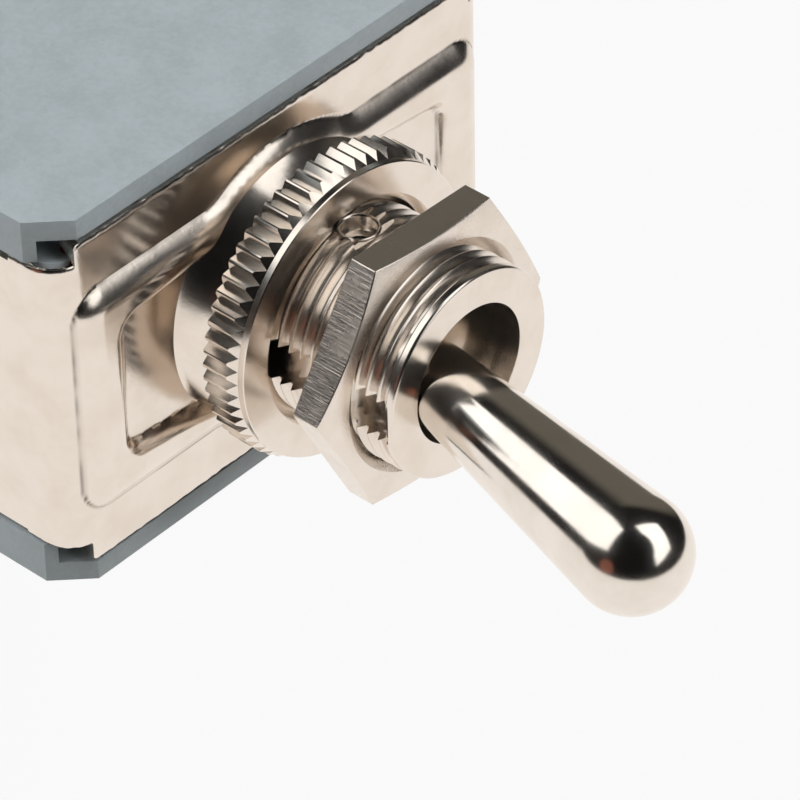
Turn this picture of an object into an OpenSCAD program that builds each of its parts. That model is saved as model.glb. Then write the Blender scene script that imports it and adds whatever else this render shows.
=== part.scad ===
// Double-pole panel toggle switch with a threaded bushing, a knurled ring nut and a hex nut.
// Millimetres. The origin is on the bushing's axis at its seat on the frame's boss, +Z points
// out through the panel, X is the way the lever throws and Y runs along its pivot pin.

/* [Bushing] */
// major diameter of the bushing's thread
bushing_d = 12; // [8:0.1:16]
// bushing length from its seat to its end face
bushing_h = 10.43; // [8:0.01:14]
// bore that the lever swings in
bore_d = 7.4; // [5:0.1:10]
// wider stretch of bore at the mouth
mouth_d = 7.88; // [5:0.01:11]
// depth of the wider stretch
mouth_depth = 1.3; // [0.5:0.1:4]
// chamfer round the end face
end_chamfer = 0.12; // [0:0.01:0.6]
// plain collar in front of the thread
collar_h = 0.6; // [0.2:0.05:2]
// width of the thread's run-out groove
groove_w = 0.3; // [0.1:0.05:1]
// depth of the run-out groove
groove_depth = 0.35; // [0.1:0.05:0.8]
// width of the keyway
keyway_w = 2.45; // [1:0.05:4]
// depth of the keyway
keyway_depth = 0.9; // [0.3:0.05:1.5]
// land left between the keyway and the end face
keyway_land = 0.2; // [0:0.05:2]
// radius of the cutter that ends the keyway
keyway_cutter_r = 3; // [1:0.1:10]
// spigot that goes through the frame
spigot_d = 10; // [6:0.1:14]
// collar swaged over under the frame
swage_d = 11.2; // [6:0.1:14]
// height of the swaged collar
swage_h = 0.6; // [0.2:0.1:2]

/* [Pivot pin] */
// height of the lever's pivot over the seat
pivot_z = 3; // [1:0.1:6]
// pivot pin diameter
pin_d = 2.3; // [1:0.05:4]
// cup bored in each end of the pin
pin_cup_d = 1.9; // [0.5:0.05:3]
// depth of that cup
pin_cup_depth = 1; // [0.2:0.1:2]
// hole through the pin
pin_hole_d = 1; // [0.3:0.05:2]
// spotface round each end of the pin
spotface_d = 3.7; // [2:0.1:6]
// depth of the spotface at its middle
spotface_depth = 0.35; // [0.1:0.05:1]
// play of the lever's cross hole on the pin, on radius
pin_play = 0.04; // [0.01:0.01:0.2]

/* [Knurled ring nut] */
// diameter over the knurl
ring_d = 17.6; // [14:0.1:24]
// thickness of the ring nut
ring_h = 2.53; // [1:0.01:5]
// number of teeth
ring_teeth = 64; // [24:1:120]
// depth of a tooth
ring_tooth = 0.35; // [0.1:0.05:0.8]
// height of the full knurl
knurl_h = 1.6; // [0.5:0.1:4]
// height over which the knurl runs out
knurl_runout = 0.5; // [0.1:0.1:1]
// countersink at the mouth of both nuts' threads
nut_sink_d = 13.2; // [12.2:0.1:15]
// play of both nuts on the thread, on radius
nut_play = 0.05; // [0.02:0.01:0.2]

/* [Hex nut] */
// width across the flats
hex_af = 15; // [13:0.1:20]
// thickness of the hex nut
hex_h = 2; // [1:0.05:5]
// height of its back face over the seat
hex_z = 6.15; // [2.6:0.05:8.3]
// diameter of the flat front face
hex_face_d = 14.8; // [12.5:0.1:18]
// height of the chamfer at the corners
hex_chamfer_h = 0.36; // [0.1:0.02:1]
// turn of the hex about the axis
hex_turn = -2.4; // [-30:0.1:30]

/* [Lever] */
// tilt of the lever at each end of its throw
lever_tilt = 13; // [8:0.5:16]
// pivot to the middle of the lever's tip
lever_l = 23.15; // [16:0.05:34]
// diameter of the rounded tip
tip_d = 6.36; // [4:0.02:9]
// diameter of the lever's cone at the pivot
root_d = 3; // [2:0.1:4]
// ball that the lever turns on
ball_d = 7; // [4.5:0.1:9]
// diameter of the tail below the ball
tail_d = 3.2; // [2:0.1:4]
// length of the tail below the pivot
tail_l = 12; // [9:0.1:14]

/* [Frame] */
// sheet thickness of the frame
sheet = 0.6; // [0.4:0.05:1]
// half length of the frame over its straps
frame_half_l = 16.4; // [14:0.1:22]
// half width of the base plate
plate_half_w = 10.4; // [9.3:0.1:14]
// half width of the straps
strap_half_w = 9.15; // [6:0.05:12]
// outer radius of the bends
bend_r = 2; // [1:0.1:4]
// height of the boss over the base plate
boss_h = 2.5; // [1.5:0.1:4]
// radius of the boss at its foot
boss_foot_r = 8.1; // [7:0.1:10]
// radius of the boss at its top, before the shoulder is rounded
boss_top_r = 7.2; // [6:0.1:9]
// rounding of the boss's shoulder
boss_round = 0.8; // [0.2:0.1:1.5]
// height of the plateau over the base plate
plateau_h = 0.72; // [0.3:0.02:1.5]
// half length of the plateau at its foot
plateau_half_l = 15.2; // [12:0.1:20]
// half width of the plateau at its foot
plateau_half_w = 7.15; // [5:0.05:9]
// corner radius of the plateau at its foot
plateau_r = 1.8; // [1:0.1:4]
// draft of the plateau's walls, as run over their height
plateau_draft = 0.8; // [0.2:0.05:1]
// radius of the round lobes beside the boss
lobe_r = 8.75; // [7.5:0.05:10]
// fillet between lobe and plateau
lobe_fillet = 3; // [1:0.1:6]
// distance from the axis to the pockets' outer edge
pocket_x = 12; // [9:0.1:16]
// half width of a pocket at its outer edge
pocket_half_w = 4; // [2:0.1:6]
// half width of a pocket next to the boss
pocket_half_w_in = 4.6; // [2:0.1:6]
// draft of the pockets' walls
pocket_draft = 0.55; // [0.1:0.05:1]
// corner radius of a pocket's floor
pocket_r = 0.6; // [0.3:0.1:2]
// depth of the straps below the base plate's top
strap_depth = 16.75; // [12:0.25:22]
// length of the tabs folded under the case
tab_l = 1.7; // [1:0.1:3]

/* [Case] */
// half width of the case
case_half_w = 11.8; // [10.6:0.1:16]
// step from the base plate's top down to the case's rim
rim_drop = 0.15; // [0:0.05:0.5]
// thickness of the rim beside the base plate's corners
rim_t = 1.2; // [0.8:0.1:1.3]
// depth of the hollows at the rim's corners
corner_depth = 3.5; // [2.2:0.1:6]
// length of the hollows at the rim's corners
corner_l = 1.8; // [1:0.1:3]
// wall between the case's end and these hollows
corner_wall = 0.5; // [0.3:0.1:1]
// play round the base plate and under the straps
frame_play = 0.05; // [0.02:0.01:0.3]
// depth of the case below the base plate's top
case_depth = 22.1; // [18:0.1:30]
// half length of the foot below the straps' tabs
foot_half_l = 14.6; // [13:0.1:16]
// half width of the foot
foot_half_w = 10.9; // [10:0.1:14]
// thickness of the floor
floor_t = 2; // [1:0.1:4]
// wall between the case's end and the cavity
end_wall = 2; // [1.2:0.1:3]
// half width of the cavity
cavity_half_w = 9.2; // [8.5:0.1:12]
// thickness of the partition between the poles
partition_t = 1.4; // [0.8:0.1:3]

/* [Insulating plate] */
// thickness of the insulating plate
insulator_t = 0.9; // [0.4:0.1:2]
// border by which the plate overlaps the cavity's long sides
insulator_lap = 0.7; // [0.3:0.05:1]
// length of its slot for the lever's tail
insulator_slot_l = 7.4; // [6:0.1:10]
// width of that slot
insulator_slot_w = 4.4; // [3.5:0.1:6]

/* [Actuator and plungers] */
// distance from the pivot to the actuator's top
actuator_top = 8.2; // [7.8:0.1:10]
// distance from the pivot to the actuator's bottom
actuator_bottom = 12.9; // [11:0.1:14]
// length of the actuator along Y
actuator_w = 14.4; // [12:0.1:18]
// thickness of the actuator along X
actuator_t = 6; // [4:0.1:7]
// half distance between the two poles
pole_y = 5; // [4:0.1:7]
// diameter of a plunger
plunger_d = 3; // [2:0.1:4]
// distance from the pivot to a plunger's tip
plunger_reach = 15; // [14:0.1:16]
// play of a plunger in the actuator, on radius
plunger_play = 0.05; // [0.02:0.01:0.2]
// bore of a plunger for its spring
plunger_bore_d = 2.2; // [1.2:0.1:3]
// wire of a plunger spring
spring_wire = 0.3; // [0.15:0.05:0.6]
// outer diameter of a plunger spring
spring_d = 1.9; // [1:0.1:2.6]
// turns of a plunger spring
spring_turns = 6; // [3:1:12]

/* [Rockers and contacts] */
// distance from the lever's pivot down to a rocker's fulcrum
fulcrum_drop = 16.7; // [15.5:0.1:19]
// half of a rocker's swing
rocker_tilt = 7; // [4:0.5:10]
// half length of a rocker
rocker_half_l = 11.2; // [8:0.1:12]
// width of a rocker
rocker_w = 4; // [2.5:0.1:6]
// thickness of a rocker's arms
rocker_t = 0.8; // [0.4:0.05:1.2]
// radius of the trough that a plunger rides in
trough_r = 6.65; // [5:0.05:9]
// height of the trough's centre over the fulcrum
trough_rise = 8.3; // [6:0.05:11]
// height of the arms' top over the fulcrum
arm_rise = 2.65; // [2:0.05:4]
// radius of the fulcrum
fulcrum_r = 0.85; // [0.5:0.05:1.2]
// play of a rocker on its fulcrum, on radius
fulcrum_play = 0.05; // [0.02:0.01:0.2]
// distance from a rocker's middle to its contacts
contact_x = 9.5; // [7:0.1:11]
// diameter of a moving contact
contact_d = 3; // [2:0.1:4]
// height of a moving contact
contact_h = 0.7; // [0.3:0.05:1.5]
// radius of a moving contact's dome
contact_dome_r = 4; // [2:0.1:10]
// diameter of a fixed contact
fixed_d = 3.4; // [2:0.1:5]
// height of a fixed contact over its terminal
fixed_h = 0.5; // [0.2:0.05:1]
// opening left between closed contacts
contact_gap = 0.03; // [0.01:0.01:0.2]

/* [Terminals] */
// width of a terminal blade
blade_w = 6.3; // [4.8:0.1:8]
// thickness of a terminal blade
blade_t = 0.8; // [0.5:0.1:1.2]
// length of a blade below the case
blade_l = 8.2; // [5:0.1:14]
// distance from the middle to the end terminals
blade_x = 10.2; // [8:0.1:11]
// distance from the middle to a blade's inner face
blade_y = 7.4; // [6:0.1:9]
// diameter of the hole near a blade's tip
blade_hole_d = 1.7; // [1:0.1:3]
// corner chamfer at a blade's tip
blade_chamfer = 0.9; // [0.2:0.1:2]

/* [Hidden] */
$fn = 64;
eps = 0.01;
base_z = -boss_h;
plateau_z = base_z + plateau_h;
case_top = base_z - rim_drop;
case_bottom = base_z - case_depth;
strap_bottom = base_z - strap_depth;
strap_half_in = frame_half_l - sheet;
cavity_half_l = strap_half_in - end_wall;
insulator_z = base_z - sheet - insulator_t;
insulator_half_l = frame_half_l - bend_r - frame_play;
floor_z = case_bottom + floor_t;
bushing_r = bushing_d / 2;
nut_bore_r = bushing_r + nut_play;
fulcrum_z = pivot_z - fulcrum_drop;
plunger_r = plunger_d / 2;
plunger_centre = plunger_reach - plunger_r;
plunger_top = actuator_top + 2;
spring_top = actuator_top + 0.8;
spring_bottom = plunger_centre - 0.2;
spring_r = (spring_d - spring_wire) / 2;
contact_rise = arm_rise - rocker_t - contact_h;
dome_rise = contact_rise + contact_dome_r;
fixed_x = contact_x * cos(rocker_tilt) + dome_rise * sin(rocker_tilt);
dome_low = dome_rise * cos(rocker_tilt) - contact_x * sin(rocker_tilt) - contact_dome_r;
fixed_z = fulcrum_z + dome_low - contact_gap;
platform_in = pole_y - rocker_w / 2;
common_z = fulcrum_z - fulcrum_r - 0.4;
foot_cavity_half_l = foot_half_l - 1.1;
corner_w = case_half_w - rim_t - strap_half_w;

// A bar along X and Y, centred, standing on z = 0.
module block(l, w, h) translate([-l / 2, -w / 2, 0]) cube([l, w, h]);

// A block with its four upright edges rounded.
module round_block(l, w, h, r) {
  block(l - 2 * r, w, h);
  block(l, w - 2 * r, h);
  for (x = [-1, 1], y = [-1, 1]) translate([x * (l / 2 - r), y * (w / 2 - r), 0]) cylinder(r = r, h = h);
}

// Turns a profile drawn in X and Z into a solid w wide, centred on Y.
module along_y(w) translate([0, w / 2, 0]) rotate([90, 0, 0]) linear_extrude(w) children();

// Side view of a block with chamfered top ends.
module chamfered(half_l, top, bottom, c) polygon([[-half_l, bottom], [-half_l, top - c], [-half_l + c, top],
  [half_l - c, top], [half_l, top - c], [half_l, bottom]]);

// Side view of a block with rounded top ends.
module arched(half_l, top, bottom, r) {
  translate([-half_l, bottom]) square([2 * half_l, top - r - bottom]);
  translate([-half_l + r, bottom]) square([2 * (half_l - r), top - bottom]);
  for (x = [-1, 1]) translate([x * (half_l - r), top - r]) circle(r);
}

// Puts a piece in the lever's frame: pivot at the origin, lever upright.
module on_lever() translate([0, 0, pivot_z]) rotate([0, -lever_tilt, 0]) children();

// Puts a piece in a rocker's frame: fulcrum at the origin, arms level.
module on_rocker(side) translate([0, side * pole_y, fulcrum_z]) rotate([0, rocker_tilt, 0]) children();

/* Case */

module case_body() {
  along_y(2 * case_half_w) chamfered(frame_half_l, case_top, strap_bottom + sheet, bend_r - rim_drop / 2);
  translate([0, 0, case_bottom]) round_block(2 * foot_half_l, 2 * foot_half_w, case_depth - sheet - 1, 1);
}

// Room for the straps: all that lies outside the frame's inner faces.
module strap_room() {
  in_r = bend_r - sheet;
  along_y(2 * (strap_half_w + 3 * frame_play)) difference() {
    translate([-frame_half_l - 1, strap_bottom]) square([2 * frame_half_l + 2, strap_depth + 2]);
    arched(strap_half_in - frame_play, base_z - sheet, strap_bottom - 1, in_r);
  }
}

module case() color([0.45, 0.47, 0.48]) {
  difference() {
    case_body();
    strap_room();
    // seat of the base plate
    translate([0, 0, base_z - sheet])
      block(2 * (frame_half_l - bend_r + 3 * frame_play), 2 * (plate_half_w + 3 * frame_play), boss_h);
    // hollows beside the bends, inside the rim's corners
    for (x = [-1, 1], y = [-1, 1]) translate([x * (frame_half_l - corner_wall - corner_l / 2),
      y * (case_half_w - rim_t - corner_w / 2), case_top - corner_depth]) block(corner_l, corner_w, 2 * corner_depth);
    // seat of the insulating plate
    translate([0, 0, insulator_z]) block(2 * (insulator_half_l + frame_play),
      2 * (cavity_half_w + insulator_lap + frame_play), boss_h);
    // cavity, narrower in the foot
    translate([0, 0, strap_bottom + 1.2]) round_block(2 * cavity_half_l, 2 * cavity_half_w, strap_depth, 0.8);
    translate([0, 0, floor_z]) round_block(2 * foot_cavity_half_l, 2 * cavity_half_w, strap_depth, 0.8);
    // slots for the blades
    for (x = [-blade_x, 0, blade_x], y = [-1, 1]) translate([x, y * (blade_y + blade_t / 2), case_bottom - 1])
      block(blade_w + 0.1, blade_t + 0.1, floor_t + 2);
    // hollows round the blades' feet
    for (x = [-blade_x, 0, blade_x], y = [-1, 1]) translate([x, y * (blade_y + blade_t / 2), case_bottom - eps])
      block(blade_w + 1.2, blade_t + 1.2, 0.6);
  }
  // partition between the poles
  translate([0, 0, floor_z - eps]) block(2 * foot_cavity_half_l + eps, partition_t, fulcrum_z + 1.6 - floor_z);
}

/* Frame */

module plateau_bar(inset) hull() for (x = [-1, 1], y = [-1, 1])
  translate([x * (plateau_half_l - plateau_r), y * (plateau_half_w - plateau_r), base_z])
    cylinder(r1 = plateau_r - inset, r2 = plateau_r - plateau_draft - inset, h = plateau_h, $fn = 32);

module lobe(inset) translate([0, 0, base_z])
  cylinder(r1 = lobe_r - inset, r2 = lobe_r - plateau_draft - inset, h = plateau_h, $fn = 96);

// Concave fillet where a lobe runs into the plateau's side.
module lobe_corner() {
  reach = lobe_r + lobe_fillet;
  cy = plateau_half_w + lobe_fillet;
  cx = sqrt(reach * reach - cy * cy);
  k = lobe_r / reach;
  translate([0, 0, base_z]) difference() {
    linear_extrude(plateau_h) polygon([[cx * k, cy * k], [cx, plateau_half_w],
      [cx, plateau_half_w - 1.2 * plateau_draft], [cx * k - plateau_draft, cy * k - 1.7 * plateau_draft]]);
    translate([cx, cy, 0]) cylinder(r1 = lobe_fillet, r2 = lobe_fillet + plateau_draft, h = plateau_h + eps);
  }
}

module pocket(grow) hull() for (y = [-1, 1]) {
  translate([pocket_x - pocket_r, y * (pocket_half_w - pocket_r), base_z])
    cylinder(r1 = pocket_r + grow, r2 = pocket_r + pocket_draft + grow, h = plateau_h + eps, $fn = 32);
  translate([boss_top_r - 2 * pocket_r, y * (pocket_half_w_in - pocket_r), base_z])
    cylinder(r1 = pocket_r + grow, r2 = pocket_r + pocket_draft + grow, h = plateau_h + eps, $fn = 32);
}

// Boss as a turned solid; inset leaves the sheet's thickness when it is cut from below.
module boss(inset) {
  slope = atan2(boss_foot_r - boss_top_r, boss_h);
  round_at = boss_top_r - boss_round * tan((90 - slope) / 2);
  rotate_extrude($fn = 128) difference() {
    polygon([[0, 2 * base_z], [2 * boss_foot_r - boss_top_r - inset, 2 * base_z], [boss_top_r - inset, 0], [0, 0]]);
    // what the rounding takes off the shoulder
    difference() {
      translate([round_at - inset, -boss_round * (1 - sin(slope))]) square(boss_round);
      translate([round_at - inset, -boss_round]) circle(boss_round);
    }
  }
}

module frame() color([0.80, 0.77, 0.72]) difference() {
  union() {
    // base plate and straps with their folded tabs
    translate([0, 0, base_z - sheet]) block(2 * (frame_half_l - bend_r), 2 * plate_half_w, sheet);
    along_y(2 * strap_half_w) difference() {
      arched(frame_half_l, base_z, strap_bottom, bend_r);
      arched(strap_half_in, base_z - sheet, strap_bottom + sheet, bend_r - sheet);
      translate([-frame_half_l + tab_l, strap_bottom - 1]) square([2 * (frame_half_l - tab_l), 3]);
    }
    difference() {
      union() {
        plateau_bar(0);
        lobe(0);
        for (x = [0, 1], y = [0, 1]) mirror([x, 0, 0]) mirror([0, y, 0]) lobe_corner();
      }
      for (x = [0, 1]) mirror([x, 0, 0]) pocket(0);
    }
    intersection() {
      boss(0);
      translate([0, 0, base_z - sheet]) block(40, 40, boss_h + sheet);
    }
  }
  // the underside follows the same form, a sheet's thickness lower
  translate([0, 0, -sheet]) {
    difference() {
      union() {
        plateau_bar(0.35);
        lobe(0.35);
      }
      for (x = [0, 1]) mirror([x, 0, 0]) pocket(0.3);
    }
    boss(0.35);
  }
  translate([0, 0, -boss_h]) cylinder(d = spigot_d + 2 * frame_play, h = boss_h + 1);
}

/* Bushing and what it carries */

module bushing_profile() {
  groove_z = bushing_h - collar_h - groove_w;
  polygon([[0, -sheet - swage_h], [swage_d / 2 - 0.2, -sheet - swage_h], [swage_d / 2, -sheet - swage_h + 0.2],
    [swage_d / 2, -sheet], [spigot_d / 2, -sheet], [spigot_d / 2, 0], [bushing_r, 0],
    [bushing_r, groove_z - 0.2], [bushing_r - groove_depth, groove_z],
    [bushing_r - groove_depth, groove_z + groove_w], [bushing_r, groove_z + groove_w],
    [bushing_r, bushing_h - end_chamfer], [bushing_r - end_chamfer, bushing_h], [0, bushing_h]]);
}

module keyway() {
  bottom_x = bushing_r - keyway_depth;
  rise = sqrt(keyway_cutter_r * keyway_cutter_r - pow(keyway_cutter_r - keyway_depth, 2));
  end_z = bushing_h - keyway_land - rise;
  translate([-bottom_x - 2, -keyway_w / 2, 0]) cube([2, keyway_w, end_z]);
  intersection() {
    translate([-bottom_x - keyway_cutter_r, 0, end_z]) rotate([90, 0, 0])
      cylinder(r = keyway_cutter_r, h = keyway_w, center = true, $fn = 128);
    translate([-bottom_x - 2, -keyway_w, end_z - eps]) cube([3, 2 * keyway_w, 2 * rise]);
  }
}

module bushing() color([0.83, 0.80, 0.75]) difference() {
  rotate_extrude($fn = 128) bushing_profile();
  translate([0, 0, -5]) cylinder(d = bore_d, h = bushing_h + 10);
  translate([0, 0, bushing_h - mouth_depth]) cylinder(d = mouth_d, h = mouth_depth + 1);
  keyway();
  translate([0, 0, pivot_z]) rotate([90, 0, 0]) {
    cylinder(d = pin_d, h = bushing_d + 2, center = true);
    for (y = [-1, 1]) translate([0, 0, y * (bushing_r - spotface_depth + 1)])
      cylinder(d = spotface_d, h = 2, center = true);
  }
}

module pivot_pin() color([0.78, 0.74, 0.68]) translate([0, 0, pivot_z]) rotate([90, 0, 0]) difference() {
  cylinder(d = pin_d, h = 2 * (bushing_r - spotface_depth + 0.1), center = true);
  cylinder(d = pin_hole_d, h = bushing_d + 2, center = true);
  for (y = [-1, 1]) translate([0, 0, y * (bushing_r - spotface_depth + 0.1)])
    cylinder(d = pin_cup_d, h = 2 * pin_cup_depth, center = true);
}

module knurled_ring_nut() color([0.82, 0.79, 0.74]) {
  crest = ring_d / 2;
  core = crest - ring_tooth;
  root = core - 0.06;
  points = [for (i = [0:2 * ring_teeth - 1]) (i % 2 == 0 ? crest : root)
    * [cos(180 * i / ring_teeth), sin(180 * i / ring_teeth)]];
  difference() {
    union() {
      // knurl, run out by a chamfer at its front end
      intersection() {
        linear_extrude(knurl_h + knurl_runout) polygon(points);
        rotate_extrude($fn = 128) polygon([[0, 0], [crest + 0.1, 0], [crest + 0.1, knurl_h - 0.1],
          [core - 0.1, knurl_h + knurl_runout], [0, knurl_h + knurl_runout]]);
      }
      cylinder(r = core, h = ring_h, $fn = 128);
    }
    translate([0, 0, -1]) cylinder(r = nut_bore_r, h = ring_h + 2);
    nut_sink(ring_h);
  }
}

// Countersink at the mouth of a nut whose front face is at height h.
module nut_sink(h) {
  deep = nut_sink_d / 2 - nut_bore_r;
  translate([0, 0, h - deep]) cylinder(r1 = nut_bore_r, r2 = nut_sink_d / 2 + eps, h = deep + eps);
}

module hex_nut() color([0.82, 0.79, 0.74]) translate([0, 0, hex_z]) rotate([0, 0, hex_turn]) difference() {
  corner_r = hex_af / sqrt(3);
  fall = hex_chamfer_h / (corner_r - hex_face_d / 2);
  intersection() {
    cylinder(r = corner_r, h = hex_h, $fn = 6);
    rotate_extrude($fn = 128) polygon([[0, 0], [corner_r + 1, 0],
      [corner_r + 1, hex_h - fall * (corner_r + 1 - hex_face_d / 2)], [hex_face_d / 2, hex_h], [0, hex_h]]);
  }
  translate([0, 0, -1]) cylinder(r = nut_bore_r, h = hex_h + 2);
  nut_sink(hex_h);
}

/* Lever and what it drives */

module lever() color([0.84, 0.82, 0.79]) on_lever() difference() {
  // cone that runs tangent into the round tip
  spread = asin((tip_d / 2 - root_d / 2) / lever_l);
  rotate_extrude($fn = 96) intersection() {
    union() {
      translate([0, lever_l]) circle(d = tip_d);
      polygon([[0, 0], [root_d / 2, 0], [tip_d / 2 * cos(spread), lever_l - tip_d / 2 * sin(spread)], [0, lever_l]]);
      circle(d = ball_d);
      translate([0, -tail_l]) square([tail_d / 2, tail_l]);
    }
    translate([0, -tail_l]) square([ball_d, 2 * lever_l]);
  }
  rotate([90, 0, 0]) cylinder(r = pin_d / 2 + pin_play, h = ball_d + 2, center = true);
}

module insulating_plate() color([0.35, 0.20, 0.10]) translate([0, 0, insulator_z]) difference() {
  block(2 * insulator_half_l, 2 * (cavity_half_w + insulator_lap), insulator_t);
  translate([0, 0, -1]) round_block(insulator_slot_l, insulator_slot_w, insulator_t + 2, insulator_slot_w / 2 - 0.05);
}

module actuator() color([0.88, 0.86, 0.78]) on_lever() difference() {
  translate([0, 0, -actuator_bottom]) round_block(actuator_t, actuator_w, actuator_bottom - actuator_top, 1);
  translate([0, 0, -tail_l]) cylinder(d = tail_d, h = tail_l);
  for (y = [-1, 1]) translate([0, y * pole_y, -actuator_bottom - 1])
    cylinder(r = plunger_r + plunger_play, h = actuator_bottom - spring_top + 1);
}

module plunger(side) color([0.80, 0.62, 0.30]) on_lever() translate([0, side * pole_y, 0]) difference() {
  union() {
    translate([0, 0, -plunger_centre]) cylinder(r = plunger_r, h = plunger_centre - plunger_top);
    translate([0, 0, -plunger_centre]) sphere(r = plunger_r);
  }
  translate([0, 0, -spring_bottom]) cylinder(d = plunger_bore_d, h = plunger_centre);
}

module plunger_left() plunger(1);
module plunger_right() plunger(-1);

// Half a turn of wire that climbs from one side of the coil to the other.
module half_turn(rise) rotate([0, -atan2(rise, 2 * spring_r), 0])
  rotate_extrude(angle = 180) translate([spring_r, 0]) circle(d = spring_wire, $fn = 16);

module plunger_spring(side) color([0.75, 0.76, 0.78]) on_lever() translate([0, side * pole_y, -spring_bottom]) {
  climb = spring_bottom - spring_top - spring_wire;
  step = climb / (2 * spring_turns);
  for (i = [0:2 * spring_turns - 1]) translate([0, 0, spring_wire / 2 + (i + 0.5) * step])
    rotate([0, 0, 180 * (i % 2)]) mirror([1, 0, 0]) half_turn(step);
}

module plunger_spring_left() plunger_spring(1);
module plunger_spring_right() plunger_spring(-1);

module rocker(side) color([0.85, 0.60, 0.25]) on_rocker(side) along_y(rocker_w) difference() {
  union() {
    translate([-rocker_half_l, arm_rise - rocker_t]) square([2 * rocker_half_l, rocker_t]);
    intersection() {
      translate([0, trough_rise]) circle(trough_r + rocker_t, $fn = 128);
      translate([-5, -2]) square([10, arm_rise + 2]);
    }
    translate([-1.5, 0.1]) square([3, 1.3]);
  }
  translate([0, trough_rise]) circle(trough_r, $fn = 128);
  circle(fulcrum_r + fulcrum_play);
}

module rocker_left() rocker(1);
module rocker_right() rocker(-1);

module moving_contacts(side) color([0.88, 0.88, 0.90]) on_rocker(side) for (x = [-1, 1])
  translate([x * contact_x, 0, contact_rise]) intersection() {
    cylinder(d = contact_d, h = contact_h);
    translate([0, 0, contact_dome_r]) sphere(r = contact_dome_r, $fn = 96);
  }

module moving_contacts_left() moving_contacts(1);
module moving_contacts_right() moving_contacts(-1);

/* Terminals, drawn for the pole on +Y */

// Blade with a chamfered, pierced tip and a shelf bent towards the pole at height z.
module terminal(x, z) {
  translate([x, blade_y, 0]) rotate([90, 0, 0]) translate([0, 0, -blade_t]) linear_extrude(blade_t) difference() {
    tip = case_bottom - blade_l;
    polygon([[-blade_w / 2, z], [-blade_w / 2, tip + blade_chamfer], [-blade_w / 2 + blade_chamfer, tip],
      [blade_w / 2 - blade_chamfer, tip], [blade_w / 2, tip + blade_chamfer], [blade_w / 2, z]]);
    translate([0, tip + 3]) circle(d = blade_hole_d);
  }
  translate([x - blade_w / 2, platform_in, z - blade_t]) cube([blade_w, blade_y + blade_t - platform_in, blade_t]);
}

module common_terminal() color([0.80, 0.66, 0.38]) {
  terminal(0, common_z);
  translate([0, pole_y, fulcrum_z]) rotate([90, 0, 0]) cylinder(r = fulcrum_r, h = rocker_w, center = true);
  translate([0, pole_y, common_z - eps]) block(2 * fulcrum_r, rocker_w, fulcrum_z - common_z);
}

module end_terminal(x) color([0.80, 0.66, 0.38]) terminal(x, fixed_z - fixed_h);

module common_terminal_left() common_terminal();
module common_terminal_right() mirror([0, 1, 0]) common_terminal();
module end_terminal_front_left() end_terminal(blade_x);
module end_terminal_rear_left() end_terminal(-blade_x);
module end_terminal_front_right() mirror([0, 1, 0]) end_terminal(blade_x);
module end_terminal_rear_right() mirror([0, 1, 0]) end_terminal(-blade_x);

module fixed_contacts(side) color([0.88, 0.88, 0.90]) for (x = [-1, 1])
  translate([x * fixed_x, side * pole_y, fixed_z - fixed_h]) cylinder(d = fixed_d, h = fixed_h);

module fixed_contacts_left() fixed_contacts(1);
module fixed_contacts_right() fixed_contacts(-1);

case();
frame();
bushing();
knurled_ring_nut();
hex_nut();
pivot_pin();
lever();
insulating_plate();
actuator();
plunger_left();
plunger_right();
plunger_spring_left();
plunger_spring_right();
rocker_left();
rocker_right();
moving_contacts_left();
moving_contacts_right();
common_terminal_left();
common_terminal_right();
end_terminal_front_left();
end_terminal_front_right();
end_terminal_rear_left();
end_terminal_rear_right();
fixed_contacts_left();
fixed_contacts_right();
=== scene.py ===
"""Panel toggle switch: nickel-plated frame, bushing, nuts and lever on a grey moulded case."""
import math
import bmesh
import bpy
from mathutils import Matrix, Vector, noise


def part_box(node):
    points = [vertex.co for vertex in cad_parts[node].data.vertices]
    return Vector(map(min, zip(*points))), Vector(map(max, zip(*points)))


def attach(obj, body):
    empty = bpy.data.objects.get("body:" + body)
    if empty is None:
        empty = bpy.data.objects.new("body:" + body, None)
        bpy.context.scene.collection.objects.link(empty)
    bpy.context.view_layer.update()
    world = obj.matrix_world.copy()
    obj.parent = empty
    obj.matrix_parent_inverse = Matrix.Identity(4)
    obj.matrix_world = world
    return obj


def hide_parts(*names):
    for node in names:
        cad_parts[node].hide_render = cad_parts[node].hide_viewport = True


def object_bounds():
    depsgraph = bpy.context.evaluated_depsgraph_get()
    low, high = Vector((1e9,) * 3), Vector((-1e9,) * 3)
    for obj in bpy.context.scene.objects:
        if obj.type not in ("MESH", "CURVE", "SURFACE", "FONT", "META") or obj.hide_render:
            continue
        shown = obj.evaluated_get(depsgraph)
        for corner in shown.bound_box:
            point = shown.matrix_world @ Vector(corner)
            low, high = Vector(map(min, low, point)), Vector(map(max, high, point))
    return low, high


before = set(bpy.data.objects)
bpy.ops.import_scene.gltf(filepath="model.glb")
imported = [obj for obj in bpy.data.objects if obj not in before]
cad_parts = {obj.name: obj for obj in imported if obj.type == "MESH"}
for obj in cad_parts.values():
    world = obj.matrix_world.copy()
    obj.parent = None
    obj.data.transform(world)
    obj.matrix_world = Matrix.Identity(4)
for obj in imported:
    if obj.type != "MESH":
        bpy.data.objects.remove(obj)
cad_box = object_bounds()

MM = 0.001
TAU = 2 * math.pi


# ---------------------------------------------------------------- sizes, in millimetres

def size_mm(node):
    low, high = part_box(node)
    return [v / MM for v in low], [v / MM for v in high]


frame_low, frame_high = size_mm("frame")
bushing_low, bushing_high = size_mm("bushing")
ring_high = size_mm("knurled_ring_nut")[1]
hex_low, hex_high = size_mm("hex_nut")

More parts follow.
